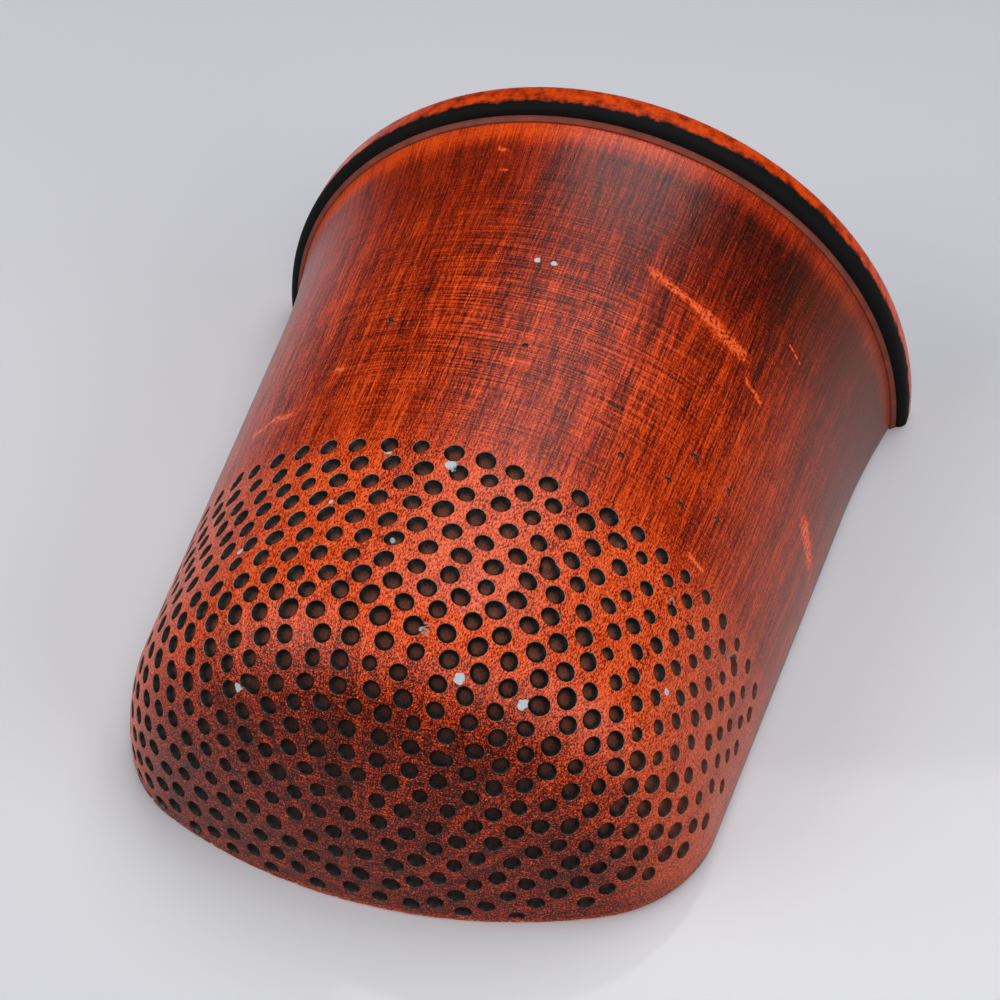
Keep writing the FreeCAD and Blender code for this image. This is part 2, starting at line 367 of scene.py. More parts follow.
def depth_of(skin, points, dimples):
    """Depth at each map point, and the same as a part of the dimple's full depth."""
    depth = np.zeros(len(points))
    share = np.zeros(len(points))
    distances = [row[0] for row in PIT_SECTION]
    shares = [row[1] for row in PIT_SECTION]
    for along, angle, radius, full, stretch, lean in dimples:
        middle = skin.map_point(along, angle)
        scale = float(skin.scale_at(along)) * radius
        step = (points - middle) / scale
        near = np.flatnonzero(np.abs(step).max(axis=1) < 1.5)
        step = step[near]
        a = (step[:, 0] * math.cos(lean) + step[:, 1] * math.sin(lean)) / stretch
        b = (step[:, 1] * math.cos(lean) - step[:, 0] * math.sin(lean)) * stretch
        part = np.interp(np.hypot(a, b), distances, shares)
        depth[near] = np.maximum(depth[near], part * full)
        share[near] = np.maximum(share[near], part)
    return depth, share


# ---------------------------------------------------------------- marks of wear


# Each scratch runs from one place to another: millimetres along the surface from the
# crown's middle and degrees from the top of the arch, positive towards -X, at
# either end; then its half width in millimetres.
SCRATCHES = (
    (33.7, -21, 33.3, -27, 0.22), (33.3, -27, 33.0, -34, 0.18), (33.0, -33, 32.5, -42, 0.36),
    (31.6, -44, 31.2, -49, 0.12), (29.3, -73, 29.0, -80, 0.42), (24.1, 49, 24.2, 44, 0.12),
    (24.3, 43, 24.0, 38, 0.16), (35.1, -50, 34.8, -54, 0.06), (22.1, -47, 22.0, -51, 0.1),
    (38.8, 14, 38.7, 13, 0.12), (37.5, 12, 37.5, 11.2, 0.06), (26.0, 30, 25.9, 28.5, 0.1),
)
# Pale flecks: millimetres and degrees as above, then the radius in millimetres
FLECKS = (
    (32.3, -1, 0.14), (32.3, -4, 0.14), (20.6, -1, 0.22), (20.9, 11, 0.18), (12.0, -30, 0.2),
    (11.8, -17, 0.2), (16.2, -54, 0.14), (16.3, 35, 0.14), (10.4, 32, 0.17),
    (16.7, 4, 0.1), (18.2, 18, 0.1), (13.1, -7, 0.1),
)
# Small dents: millimetres and degrees as above, then radius and depth in millimetres, how
# far the dent is drawn out, and its lean in radians
NICKS = (
    (27.5, -5, 0.13, 0.09, 1.1, 0.4), (24.1, -28, 0.13, 0.08, 1.1, 0.2),
    (24.4, -38, 0.12, 0.06, 1.2, 0.5), (26.2, -50, 0.12, 0.05, 1.2, 0.3),
    (28.4, 22, 0.11, 0.04, 1.2, 1.3), (26.3, -41, 0.11, 0.05, 1.2, 0.4),
    (23.8, -42, 0.11, 0.05, 1.2, 0.6), (24.6, -50, 0.12, 0.06, 1.3, 0.9),
)


def as_place(along, degrees):
    """Surface length and turn, from millimetres and degrees from the top of the arch."""
    return along * MM, math.radians(90 + degrees)


# Mesh points of a scratch: millimetres from one to the next, and their rows in half widths
# from its middle line. Mesh points of a fleck: rings, in radii, and how many lie on each.
SCRATCH_STEP = 0.16
SCRATCH_SIDES = (-1.3, -0.4, 0.4, 1.3)
FLECK_RINGS = ((0, 1), (0.8, 6), (1.25, 8))
# How far a mark reaches from its middle, in half widths or radii, until nothing is left of it
SCRATCH_REACH, FLECK_REACH = 1.4, 1.6


def mark_points(skin):
    """Map points along every scratch and over every fleck, close enough to carry its shape."""
    points = []
    for along, degrees, last_along, last_degrees, width in SCRATCHES:
        start = skin.map_point(*as_place(along, degrees))
        end = skin.map_point(*as_place(last_along, last_degrees))
        scale = float(skin.scale_at(along * MM)) * MM
        step = end - start
        length = float(np.hypot(*step))
        across = np.array([-step[1], step[0]]) / length * scale * width
        count = max(2, round(length / (SCRATCH_STEP * scale)))
        for side in SCRATCH_SIDES:
            points += [start + step * i / count + across * side for i in range(-1, count + 2)]
    for along, degrees, width in FLECKS:
        middle = skin.map_point(*as_place(along, degrees))
        scale = float(skin.scale_at(along * MM)) * MM * width
        for distance, count in FLECK_RINGS:
            turns = math.tau * np.arange(count) / count
            points += list(middle + scale * distance * np.column_stack([np.cos(turns), np.sin(turns)]))
    return np.array(points)


def nicks():
    """The small dents, laid out as dimples are."""
    made = []
    for along, degrees, width, depth, stretch, lean in NICKS:
        place, angle = as_place(along, degrees)
        made.append((place, angle, width * MM, depth * MM, stretch, lean))
    return made


def mark_strength(skin, points):
    """How far each map point is scratched bright, and how far it is covered by a pale fleck."""
    scuff = np.zeros(len(points))
    fleck = np.zeros(len(points))
    for along, degrees, last_along, last_degrees, width in SCRATCHES:
        start = skin.map_point(*as_place(along, degrees))
        end = skin.map_point(*as_place(last_along, last_degrees))
        scale = float(skin.scale_at(along * MM)) * MM * width
        step = end - start
        part = np.clip((points - start) @ step / (step @ step), 0, 1)
        away = np.hypot(*(points - start - part[:, None] * step).T) / scale
        scuff = np.maximum(scuff, np.clip(SCRATCH_REACH - away, 0, 1))
    for along, degrees, width in FLECKS:
        middle = skin.map_point(*as_place(along, degrees))
        scale = float(skin.scale_at(along * MM)) * MM * width
        away = np.hypot(*(points - middle).T) / scale
        fleck = np.maximum(fleck, np.clip(FLECK_REACH - away, 0, 1))
    return scuff, fleck


# ---------------------------------------------------------------- mesh helpers


ROW_RATIO = 0.866  # height of a triangle with three equal sides, as a part of one side


def grid_points(skin, spacing, low, high):
    """Staggered rows of map points over part of the skin, clear of its border."""
    points = []
    along = low
    number = 0
    while along < high:
        radius = float(skin.radius_at(along))
        count = max(1, round(math.pi * radius / spacing))
        turns = (np.arange(count) + 0.25 + 0.5 * (number % 2)) / count
        angles = math.pi * turns[turns < 1]
        points.append(skin.to_map(np.full(len(angles), along), angles))
        along += spacing * ROW_RATIO
        number += 1
    return np.vstack(points)


def border_points(skin, spacing):
    """Map points round the skin's edge: the mouth, then the two cut sides."""
    reach = skin.along[-1]
    along = np.linspace(0, reach, round(reach / spacing) + 1)
    arc = np.linspace(0, math.pi, round(math.pi * SEAT_RADIUS / (2 * spacing)) + 1)
    mouth = skin.to_map(np.full(len(arc), reach), arc)
    left = skin.to_map(along[::-1][1:], np.full(len(along) - 1, math.pi))
    right = skin.to_map(along[1:-1], np.zeros(len(along) - 2))
    left[-1] = (0.0, 0.0)
    points = np.vstack([mouth, left, right])
    flat = np.abs(points[:, 1]) < 1e-9 * reach
    points[flat, 1] = 0.0
    return points


def triangulate(border, inner):
    """Triangles over a bordered map: its points, its faces, and the numbers of the border's points."""
    unit = 1000.0
    points = [Vector(p) for p in np.vstack([border, inner]) * unit]
    loop = [list(range(len(border)))]
    made, _, faces, origins, _, _ = delaunay_2d_cdt(points, [], loop, 1, 1e-7)
    flat = np.array([tuple(p) for p in made]) / unit
    numbers = {}
    for index, sources in enumerate(origins):
        for source in sources:
            numbers[source] = index
    return flat, [tuple(face) for face in faces], [numbers[i] for i in range(len(border))]


def deselect_all():
    if bpy.context.object and bpy.context.object.mode != "OBJECT":
        bpy.ops.object.mode_set(mode="OBJECT")
    bpy.ops.object.select_all(action="DESELECT")


def make_active(piece):
    deselect_all()
    piece.select_set(True)
    bpy.context.view_layer.objects.active = piece


def settle(piece, material, angle):
    """Point the faces outwards, shade smoothly, and apply the piece's place to its mesh."""
    make_active(piece)
    bpy.ops.object.transform_apply(location=True, rotation=True, scale=True)
    bpy.ops.object.mode_set(mode="EDIT")
    bpy.ops.mesh.select_all(action="SELECT")
    bpy.ops.mesh.remove_doubles(threshold=1e-7)
    bpy.ops.mesh.normals_make_consistent(inside=False)
    bpy.ops.object.mode_set(mode="OBJECT")
    for vert in piece.data.vertices:
        vert.co.y = min(vert.co.y, MOUTH_Y)
        vert.co.z = max(vert.co.z, 0.0)
    bpy.ops.object.shade_smooth_by_angle(angle=angle)
    piece.data.materials.clear()
    piece.data.materials.append(material)


def select_corners(piece, test):
    """Select the vertices that pass a test; leaves edit mode on."""
    bpy.ops.object.mode_set(mode="EDIT")
    bpy.context.tool_settings.mesh_select_mode = (True, False, False)
    shape = bmesh.from_edit_mesh(piece.data)
    for item in (*shape.faces, *shape.edges, *shape.verts):
        item.select_set(False)
    for vert in shape.verts:
        if test(vert.co):
            vert.select_set(True)
    shape.select_flush_mode()
    bmesh.update_edit_mesh(piece.data)


# ---------------------------------------------------------------- materials


FRESH_SCRATCH = "#F4764A"
DEEP_PIT = "#0E0908"
PIT_RIM_GLINT = "#B79A8C"
LOW_RIGHT_SHEEN = "#7E4230"
LINING = "#1E1A19"
BASE_COAT = ("#0D0C0D", "#2B2725")
LIP_PAINT = ("#8A2208", "#D8480F")
LIP_BLACK = "#060507"
LIP_MOUTH_SHADE = "#4A1A0E"
SOLDER = ("#34130A", "#963A18")
TABLE_CLOUDS = "#D5D5DA"
TABLE_FAR_SHADE = "#C1C2C9"
SKY = "#E8EAF0"
SKY_STRENGTH = 0.04

# Numbers of the colour sockets of ShaderNodeMix
RGBA_A, RGBA_B, RGBA_OUT = 6, 7, 2


def linear(hex_colour):
    """An sRGB hex value as linear red, green, blue and alpha."""
    parts = [int(hex_colour[i:i + 2], 16) / 255 for i in (1, 3, 5)]
    return tuple(c / 12.92 if c <= 0.04045 else ((c + 0.055) / 1.055) ** 2.4 for c in parts) + (1.0,)


def add_node(tree, kind, inputs=None, **settings):
    """Add a node. Each input is given a value, or an output that is linked to it."""
    made = tree.nodes.new(kind)
    for name, value in settings.items():
        setattr(made, name, value)
    for name, value in (inputs or {}).items():
        socket = made.inputs[name]
        if isinstance(value, bpy.types.NodeSocket):
            tree.links.new(value, socket)
        else:
            socket.default_value = value
    return made


def calculate(tree, operation, *values, **settings):
    """The result of a maths node."""
    made = add_node(tree, "ShaderNodeMath", dict(enumerate(values)), operation=operation, **settings)
    return made.outputs[0]


def vector_maths(tree, operation, *values):
    """The outputs of a vector maths node: a vector, then a number."""
    return add_node(tree, "ShaderNodeVectorMath", dict(enumerate(values)), operation=operation).outputs


def span(tree, value, start, end, low=0.0, high=1.0):
    """Low where the value is at the start or before it, high where it is at the end or beyond."""
    return add_node(tree, "ShaderNodeMapRange", {
        "Value": value, "From Min": start, "From Max": end, "To Min": low, "To Max": high}).outputs[0]


def between(tree, share, low, high=1.0):
    """Low for a share of 0, high for a share of 1."""
    return span(tree, share, 0.0, 1.0, low, high)


def blend(tree, share, first, second):
    """The first colour, turned into the second by the share. Either may be a hex value."""
    first, second = (linear(c) if isinstance(c, str) else c for c in (first, second))
    return add_node(tree, "ShaderNodeMix", {0: share, RGBA_A: first, RGBA_B: second},
                    data_type="RGBA").outputs[RGBA_OUT]


def noise(tree, place, size, detail, roughness=0.6):
    """Noise with marks about as wide as the size."""
    return add_node(tree, "ShaderNodeTexNoise", {
        "Vector": place, "Scale": 1 / size, "Detail": detail, "Roughness": roughness}).outputs[0]


def stretched(tree, place, scale, rotation=(0.0, 0.0, 0.0)):
    """Places squeezed by a scale, so that noise over them is drawn out."""
    return add_node(tree, "ShaderNodeMapping", {
        "Vector": place, "Scale": scale, "Rotation": rotation}).outputs[0]


def relief(tree, height, strength, distance):
    """The surface's normal, tilted by a height."""
    return add_node(tree, "ShaderNodeBump", {
        "Strength": strength, "Distance": distance, "Height": height}).outputs[0]


def marked(tree, name):
    """A value that the mesh carries at each point."""
    return add_node(tree, "ShaderNodeAttribute", attribute_name=name).outputs["Fac"]


def new_material(name):
    """A material with an empty node tree, that tree, and each point's place on the piece."""
    material = bpy.data.materials.new(name)
    material.use_nodes = True
    tree = material.node_tree
    tree.nodes.clear()
    return material, tree, add_node(tree, "ShaderNodeTexCoord").outputs["Object"]


def shade(tree, inputs):
    """Finish a material with a shader that has the given inputs."""
    shader = add_node(tree, "ShaderNodeBsdfPrincipled", inputs)
    output = add_node(tree, "ShaderNodeOutputMaterial")
    tree.links.new(shader.outputs[0], output.inputs["Surface"])


def rubbed_copper_paint():
    """Orange-red copper paint, brushed on over black, rubbed back and given a satin clear coat.

    The rubbing leaves black in every brush mark and pore, so the eye sees a fine
    black grain in the orange, drawn out along the wall and across the crown.
    """
    colours = bpy.context.scene.thimble_colours
    material, tree, place = new_material("rubbed copper paint over black")
    x, y, z = add_node(tree, "ShaderNodeSeparateXYZ", {0: place}).outputs

    # Brush marks: along the wall, round the wall, and across the crown. Those along the wall
    # follow its taper, so they are laid out by the turn about the axis.
    flat = vector_maths(tree, "MULTIPLY", place, (1.0, 0.0, 1.0))[0]
    turned = vector_maths(tree, "NORMALIZE", flat)[0]
    lengthwise = vector_maths(tree, "MULTIPLY", place, (0.0, 0.034, 0.0))[0]
    drawn_along = vector_maths(tree, "MULTIPLY_ADD", turned, (13.0 * MM,) * 3, lengthwise)[0]
    along = noise(tree, drawn_along, 0.07 * MM, 2.0)
    bands = noise(tree, drawn_along, 0.8 * MM, 4.0, 0.65)
    around = noise(tree, stretched(tree, place, (0.03, 1.0, 0.03), (0.0, 0.0, 0.05)), 0.075 * MM, 2.0)
    across = noise(tree, stretched(tree, place, (0.06, 1.0, 1.0)), 0.085 * MM, 3.0)
    grain = noise(tree, stretched(tree, place, (1.0, 0.4, 1.0)), 0.055 * MM, 1.0)
    chips = noise(tree, place, 0.16 * MM, 2.0)
    patches = noise(tree, place, 3.2 * MM, 3.0, 0.55)

    # Where each sort of mark shows
    crown = span(tree, y, CROWN_Y + 4.6 * MM, CROWN_Y + 1.8 * MM)
    wall = span(tree, y, CROWN_Y + 11.5 * MM, CROWN_Y + 14.0 * MM)
    from_patch = vector_maths(tree, "DISTANCE", place, (1.0 * MM, 4.0 * MM, 13.0 * MM))["Value"]
    hatched = span(tree, from_patch, 9.0 * MM, 3.0 * MM, 0.3, 1.15)
    hatch = calculate(tree, "MULTIPLY", hatched, wall)
    streaked = between(tree, wall, 0.4, 0.95)
    crown_streaked = between(tree, crown, 0.0, 0.8)
    speckled = between(tree, wall, 1.8, 0.68)

    # How much paint is left, from none at 0 to rubbed bright at 1
    total = 0.0
    for marks, weight in ((along, streaked), (around, hatch), (across, crown_streaked),
                          (grain, speckled), (bands, 0.5), (patches, 0.16)):
        centred = calculate(tree, "SUBTRACT", marks, 0.5)
        total = calculate(tree, "MULTIPLY_ADD", centred, weight, total)
    near_lip = span(tree, y, LIP_Y - 11.5 * MM, LIP_Y - 2.5 * MM)
    contrast = between(tree, near_lip, 2.1, 1.2)
    left = calculate(tree, "MULTIPLY_ADD", total, contrast, 0.61)

    # Where the paint is duller or brighter than elsewhere; some of it is painted light
    # Darker near the lip: partly more black left in the paint there, and painted shade that grows towards +X,
    # where the wall turns away from the lamps.
    darkening_and_shade_to_right = span(tree, x, -4.0 * MM, 9.0 * MM, -0.12, -0.45)
    dark_band_and_right_shade = calculate(tree, "MULTIPLY", near_lip, darkening_and_shade_to_right)
    under_lip = span(tree, y, LIP_Y - 1.6 * MM, LIP_Y - 0.7 * MM, 0.0, 0.42)
    # Along the edge on the table: a worn bright line near the crown, and painted shade darkening the rest of
    # the wall's edge where it meets the table.
    edge_wear_and_shade = span(tree, y, CROWN_Y + 2.0 * MM, CROWN_Y + 5.0 * MM, 0.6, -0.8)
    edge = span(tree, z, 0.4 * MM, 0.1 * MM)
    worn_and_shaded_edge = calculate(tree, "MULTIPLY", edge, edge_wear_and_shade)
    # The crown darkened: partly its more blackened rubbing, partly painted shade, as the crown faces away
    # from the lamps.
    darker_crown_finish_and_shade = calculate(tree, "MULTIPLY", crown, -0.72)
    # Brighter below the wall, over the dimples: cleaner orange between them, and partly a painted highlight
    # where the overhead lamp shines on the dimpled band.
    cleaner_and_highlit_band = between(tree, wall, 0.34, 0.0)
    for part in (dark_band_and_right_shade, under_lip, worn_and_shaded_edge, darker_crown_finish_and_shade, cleaner_and_highlit_band):
        left = calculate(tree, "ADD", left, part)
    scuff = marked(tree, "scuff")
    broken = span(tree, chips, 0.4, 0.54, 0.15, 1.0)
    scuffed = calculate(tree, "MULTIPLY_ADD", scuff, broken, left)

    paint = add_node(tree, "ShaderNodeValToRGB", {0: scuffed})
    stops = ((0.0, colours.black), (0.3, colours.paint_thin), (0.6, colours.paint), (1.0, colours.paint_worn))
    ramp = paint.color_ramp.elements
    for number, (position, colour) in enumerate(stops):
        if number > 1:
            ramp.new(position)
        ramp[number].position = position
        ramp[number].color = linear(colour)
    fresh = span(tree, scuffed, 1.1, 1.5, 0.0, 0.7)
    colour = blend(tree, fresh, paint.outputs[0], FRESH_SCRATCH)

    # Dimples: nearly black, with some paint on their floors, and a painted highlight: a pale glint on each
    # rim, fainter on the crown
    pit = marked(tree, "pit")
    uneven_floor = calculate(tree, "MULTIPLY_ADD", grain, 0.5, pit)
    floor_paint = span(tree, uneven_floor, 0.85, 1.3, 0.0, between(tree, crown, 1.0, 0.3))
    pit_colour = blend(tree, floor_paint, DEEP_PIT, colours.pit)
    colour = blend(tree, span(tree, pit, 0.01, 0.1), colour, pit_colour)
    # Painted highlight: a pale glint along each dimple's rim.
    rim = calculate(tree, "MULTIPLY", span(tree, pit, 0.0, 0.03), span(tree, pit, 0.1, 0.05))
    painted_rim_glint = calculate(tree, "MULTIPLY", rim, between(tree, crown, 0.5, 0.1))
    colour = blend(tree, painted_rim_glint, colour, PIT_RIM_GLINT)

    # Painted reflection low on the right: the wall's paint dulled towards a sheen of the pale table, kept off
    # the scratches; stray flecks; and the bare inside
    # Painted reflection: the low right of the wall dulled towards a sheen of the pale table.
    sheen_low_right = span(tree, x, 9.0 * MM, 13.0 * MM, 0.0, 0.5)
    painted_sheen = calculate(tree, "SUBTRACT", sheen_low_right, scuff, use_clamp=True)
    colour = blend(tree, painted_sheen, colour, LOW_RIGHT_SHEEN)
    ragged_fleck = calculate(tree, "MULTIPLY_ADD", chips, 1.3, marked(tree, "fleck"))
    colour = blend(tree, span(tree, ragged_fleck, 1.2, 1.28), colour, colours.fleck)
    colour = blend(tree, marked(tree, "lining"), colour, LINING)

    shade(tree, {"Base Color": colour, "Roughness": between(tree, pit, 0.29, 0.9),
                 "Specular IOR Level": 0.24, "Normal": relief(tree, scuffed, 0.5, 0.012 * MM)})
    return material


def black_base_coat():
    """Satin black base coat, brushed on thinly over the metal: faint brush lines, soft sheen."""
    material, tree, place = new_material("satin black base coat")
    strokes = noise(tree, stretched(tree, place, (0.08, 1.0, 1.0)), 0.35 * MM, 4.0)
    shade(tree, {"Base Color": blend(tree, strokes, *BASE_COAT), "Roughness": 0.45,
                 "Normal": relief(tree, strokes, 0.5, 0.02 * MM)})
    return material


def rubbed_copper_lip():
    """The same paint on the lip: its outer edge polished bright, the side towards the crown left black."""
    material, tree, place = new_material("rubbed copper lip with black underside")
    x, y, _ = add_node(tree, "ShaderNodeSeparateXYZ", {0: place}).outputs
    grain = noise(tree, place, 0.5 * MM, 4.0, 0.65)
    ragged = calculate(tree, "MULTIPLY_ADD", grain, 0.6 * MM, y)
    wider_right = span(tree, x, 1.0 * MM, 9.0 * MM, 0.0, 0.32 * MM)
    reach = calculate(tree, "SUBTRACT", ragged, wider_right)
    black_side = span(tree, reach, LIP_Y + 0.95 * MM, LIP_Y + 0.72 * MM)
    colour = blend(tree, span(tree, grain, 0.35, 0.6), *LIP_PAINT)
    colour = blend(tree, black_side, colour, LIP_BLACK)
    # Painted shade: the rounding towards the mouth darkened, where it turns away from the light.
    mouth_side_shade = span(tree, y, MOUTH_Y - 0.38 * MM, MOUTH_Y - 0.12 * MM)
    colour = blend(tree, mouth_side_shade, colour, LIP_MOUTH_SHADE)
    shade(tree, {"Base Color": colour, "Roughness": between(tree, black_side, 0.25, 0.75),
                 "Specular IOR Level": 0.16, "Normal": relief(tree, grain, 0.4, 0.03 * MM)})
    return material


def blackened_solder():
    """Soft solder run by hand and blackened, rubbed with a little of the paint: dull and lumpy."""
    material, tree, place = new_material("blackened solder")
    lumps = noise(tree, place, 0.6 * MM, 3.0)
    shade(tree, {"Base Color": blend(tree, lumps, *SOLDER), "Metallic": 0.1, "Roughness": 0.6,
                 "Normal": relief(tree, lumps, 0.6, 0.04 * MM)})
    return material


def table_top():
    """Smooth pale laminate with a thin glassy reflection; a little darker towards the back, which is painted
    shade.
    """
    material, tree, place = new_material("pale laminate table")
    clouds = noise(tree, place, 25.0 * MM, 2.0, 0.5)
    tone = blend(tree, clouds, bpy.context.scene.thimble_colours.table, TABLE_CLOUDS)
    _, y, _ = add_node(tree, "ShaderNodeSeparateXYZ", {0: place}).outputs
    # Painted shade: the table darkened towards the back.
    colour = blend(tree, span(tree, y, 0.0, 60.0 * MM), tone, TABLE_FAR_SHADE)
    shade(tree, {"Base Color": colour, "Roughness": 0.06, "Specular IOR Level": 0.17})
    return material


# ---------------------------------------------------------------- the pieces


class THIMBLE_OT_shell(bpy.types.Operator):
    """Add the dimpled half-round shell"""

    bl_idname = "thimble.add_shell"
    bl_label = "Dimpled Shell"

    BORDER_SPACING = 0.2 * MM
    PLAIN_SPACING = 0.55 * MM
    BETWEEN_SPACING = 0.36 * MM
    INSIDE_SPACING = 1.2 * MM
    # How far loose points keep from the border, and where they start on the lining
    CLEAR = 0.3 * MM
    INSIDE_START = 0.6 * MM
    # Nearer than this, two of the placed points become one
    CLOSEST = 0.022 * MM
    # Rows of points up the filed edge, as parts of its rounding
    ROUNDING_PARTS = (0.25, 0.6, 1.0)
    # How far loose points keep from a dimple's middle, in its radii
    ROUND_A_DIMPLE = 1.3

    def outer_points(self, skin, dimples):
        """Map points inside the outer face's border: round the dimples, between them and above them."""
        shape = bpy.context.scene.thimble_shape
        settings = bpy.context.scene.thimble_dimples
        top = settings.top_row + settings.row_gap
        along = np.arange(self.CLEAR, skin.along[-1] - 0.1 * MM, 1.25 * self.BORDER_SPACING)
        edge = np.empty((0, 2))
        for part in self.ROUNDING_PARTS:
            rise = part * shape.edge_rounding / skin.radius_at(along)
            edge = np.vstack([edge, skin.to_map(along, rise), skin.to_map(along, math.pi - rise)])
        rings = np.vstack([dimple_points(skin, dimples), mark_points(skin)])
        reach, turn = skin.from_map(rings)
        rings = rings[(skin.height_at(reach, turn) > shape.edge_rounding + 0.03 * MM) & (turn > 0)]
        rings = keep_by_scale(skin, np.vstack([edge, rings]), self.CLOSEST)

        dimpled = grid_points(skin, self.BETWEEN_SPACING, self.CLEAR, top)
        plain = grid_points(skin, self.PLAIN_SPACING, top, skin.along[-1] - 0.2 * MM)
        loose = np.vstack([dimpled, plain])
        loose = loose[skin.height_at(*skin.from_map(loose)) > self.CLEAR]
        return np.vstack([rings, clear_of_dimples(skin, loose, dimples, self.ROUND_A_DIMPLE)])

    def execute(self, context):
        shape = context.scene.thimble_shape
        skin = Skin()
        lining = Skin(shape.wall)
        dimples = lay_out_dimples(skin) + nicks()
        border = border_points(skin, self.BORDER_SPACING)
        outer, outer_faces, outer_loop = triangulate(border, self.outer_points(skin, dimples))
        inner_points = grid_points(skin, self.INSIDE_SPACING, self.INSIDE_START,
                                   skin.along[-1] - self.CLEAR)
        inner, inner_faces, inner_loop = triangulate(border, inner_points)

        depth, share = depth_of(skin, outer, dimples)
        scuff, fleck = mark_strength(skin, outer)
        reach, turn = skin.from_map(outer)
        turn = np.clip(turn, 0, math.pi)
        # The edge on the table stays whole: dimples fade out just above it
        height = skin.height_at(reach, turn)
        depth = depth * np.clip(height / (0.45 * MM) - 0.2, 0, 1)
        share = share * np.clip(height / (0.5 * MM) - 0.5, 0, 1)
        depth = depth + rounding_at(skin, reach, turn, shape.edge_rounding)
        outside = skin.place(reach, turn, depth)
        reach, turn = skin.from_map(inner)
        inside = lining.place(reach, np.clip(turn, 0, math.pi))

        count = len(outside)
        faces = list(outer_faces)
        faces += [tuple(count + i for i in reversed(face)) for face in inner_faces]
        for i in range(len(border)):
            j = (i + 1) % len(border)
            faces.append((outer_loop[i], count + inner_loop[i], count + inner_loop[j], outer_loop[j]))
        mesh = bpy.data.meshes.new("dimpled_shell")
        mesh.from_pydata(np.vstack([outside, inside]).tolist(), [], faces)
        bare = np.zeros(len(inside))
        values = {"pit": (share, bare), "scuff": (scuff, bare), "fleck": (fleck, bare),
                  "lining": (np.zeros(count), np.ones(len(inside)))}
        for name, (outer_value, inner_value) in values.items():
            attribute = mesh.attributes.new(name, "FLOAT", "POINT")
            attribute.data.foreach_set("value", np.concatenate([outer_value, inner_value]))
        piece = bpy.data.objects.new("dimpled_shell", mesh)
        context.scene.collection.objects.link(piece)
        settle(piece, rubbed_copper_paint(), math.radians(36))
        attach(piece, "root")
        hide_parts("shell")
        return {"FINISHED"}


def keep_by_scale(skin, points, gap):
    """Drop map points that nearly coincide on the surface."""
    reach, _ = skin.from_map(points)
    gaps = skin.scale_at(reach) * gap
    cells = {}
    kept = []
    for (x, y), near in zip(points, gaps):
        # Cells are about as wide as the gap at this scale. They come in levels, each
        # about a tenth wider than the last.
        level = round(math.log(near) * 10)
        width = math.exp(level / 10)
        home = (int(x // width), int(y // width))
        clash = False
        for other in (level - 1, level, level + 1):
            wide = math.exp(other / 10)
            column, row = int(x // wide), int(y // wide)
            for i in (-1, 0, 1):
                for j in (-1, 0, 1):
                    for ox, oy in cells.get((other, column + i, row + j), ()):
                        if (x - ox) ** 2 + (y - oy) ** 2 < near ** 2:
                            clash = True
        if not clash:
            cells.setdefault((level, *home), []).append((x, y))
            kept.append((x, y))
    return np.array(kept)


def clear_of_dimples(skin, points, dimples, reach):
    """The points that lie outside every dimple's own rings."""
    clear = np.ones(len(points), bool)
    for along, angle, radius, _, _, _ in dimples:
        middle = skin.map_point(along, angle)
        limit = float(skin.scale_at(along)) * radius * reach
        clear &= ((points - middle) ** 2).sum(axis=1) > limit ** 2
    return points[clear]


def rounding_at(skin, along, turn, radius):
    """How far the filed rounding at the table edge lies inside the skin."""
    short = np.clip(radius - skin.height_at(along, turn), 0, radius)
    return radius - np.sqrt(radius ** 2 - short ** 2)


class THIMBLE_OT_lip(bpy.types.Operator):
    """Add the lip and the solder run under it, each spun round half the mouth"""

    bl_idname = "thimble.add_lip"
    bl_label = "Lip and Solder"

    SPIN_STEPS = 144
    MOUTH_ROUNDING, CROWN_ROUNDING = 0.6 * MM, 0.45 * MM
    RUN_BEVEL = 0.17 * MM
    NEAR = 1e-6

    def spin(self):
        """Turn the active piece's section from +X over the top to -X."""
        bpy.ops.object.mode_set(mode="EDIT")
        bpy.ops.mesh.select_all(action="SELECT")
        bpy.ops.mesh.spin(steps=self.SPIN_STEPS, angle=math.pi, center=(0, 0, 0), axis=(0, 1, 0))
        bpy.ops.object.mode_set(mode="OBJECT")

    def section(self, name, low, high):
        """A flat oblong in the table's plane, from a plane primitive."""
        deselect_all()
        middle = ((low[0] + high[0]) / 2, (low[1] + high[1]) / 2, 0)
        bpy.ops.mesh.primitive_plane_add(size=1, location=middle)
        piece = bpy.context.object
        piece.name = name
        piece.data.name = name
        piece.scale = (high[0] - low[0], high[1] - low[1], 1)
        bpy.ops.object.transform_apply(location=True, rotation=True, scale=True)
        return piece

    def execute(self, context):
        lip = self.section("lip", (SEAT_RADIUS, LIP_LOW.y), (LIP_RADIUS, LIP_HIGH.y))
        for y, radius in ((LIP_HIGH.y, self.MOUTH_ROUNDING), (LIP_LOW.y, self.CROWN_ROUNDING)):
            select_corners(lip, lambda v: v.x > LIP_RADIUS - self.NEAR and abs(v.y - y) < self.NEAR)
            bpy.ops.mesh.bevel(offset=radius, segments=8, affect="VERTICES")
            bpy.ops.object.mode_set(mode="OBJECT")
        self.spin()
        settle(lip, rubbed_copper_lip(), math.radians(50))
        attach(lip, "root")
        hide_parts("rim_bead")

        run = self.section("lip_solder", (SEAT_RADIUS - 0.05 * MM, RUN_LOW.y), (RUN_HIGH.x, RUN_HIGH.y))
        select_corners(run, lambda v: v.x > RUN_HIGH.x - self.NEAR and v.y < RUN_LOW.y + self.NEAR)
        bpy.ops.mesh.bevel(offset=self.RUN_BEVEL, segments=4, affect="VERTICES", profile=0.2)
        bpy.ops.object.mode_set(mode="OBJECT")
        self.spin()
        settle(run, blackened_solder(), math.radians(50))
        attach(run, "root")
        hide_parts("rim_solder")
        return {"FINISHED"}


